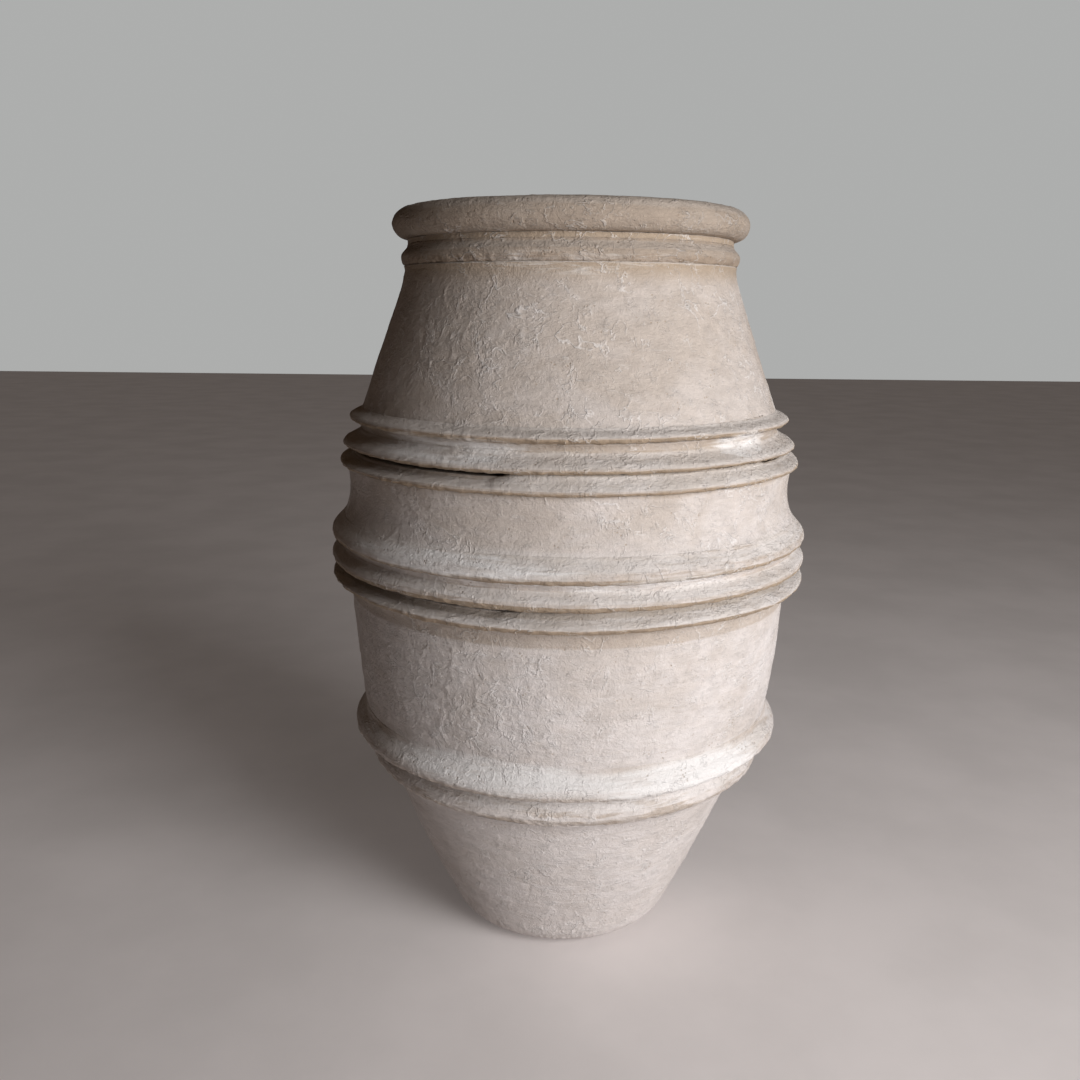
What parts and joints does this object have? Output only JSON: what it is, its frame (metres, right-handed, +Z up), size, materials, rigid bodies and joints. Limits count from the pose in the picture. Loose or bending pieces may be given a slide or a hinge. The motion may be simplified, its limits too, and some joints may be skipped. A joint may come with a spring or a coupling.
{
  "type": "banded storage jar",
  "caption": "Large handle-less amphora-shaped clay jar with a rolled rim and applied bands round its stacked sections; stands on its floor slab and holds plants, branches or dry goods.",
  "frame": {"origin": "centre of the resting face, on the surface the jar stands on", "axes": "+Z up along the jar's axis; the jar is round, so +X and +Y are any two level directions at right angles"},
  "size_m": [0.7222, 0.7222, 1.1],
  "materials": {
    "limewashed_clay": "rough trowelled limewash over clay",
    "band_clay": "chalky limewash, brown in the recesses",
    "rim_clay": "thin limewash, ochre showing through",
    "lute": "raw, dark and crumbly",
    "raw_clay": "matt unglazed"
  },
  "bodies": {
    "root": {"floor_slab": "raw_clay", "foot_section": "limewashed_clay", "belly_section": "limewashed_clay", "waist_section": "limewashed_clay", "shoulder_section": "limewashed_clay", "rolled_rim": "rim_clay", "neck_bead": "rim_clay", "upper_band_1": "band_clay", "upper_band_2": "band_clay", "upper_band_3": "band_clay", "middle_band_1": "band_clay", "middle_band_2": "band_clay", "middle_band_3": "band_clay", "lower_band_1": "band_clay", "lower_band_2": "band_clay", "upper_joint_lute": "lute", "middle_joint_lute": "lute", "lower_joint_lute": "lute"}
  },
  "joints": []
}
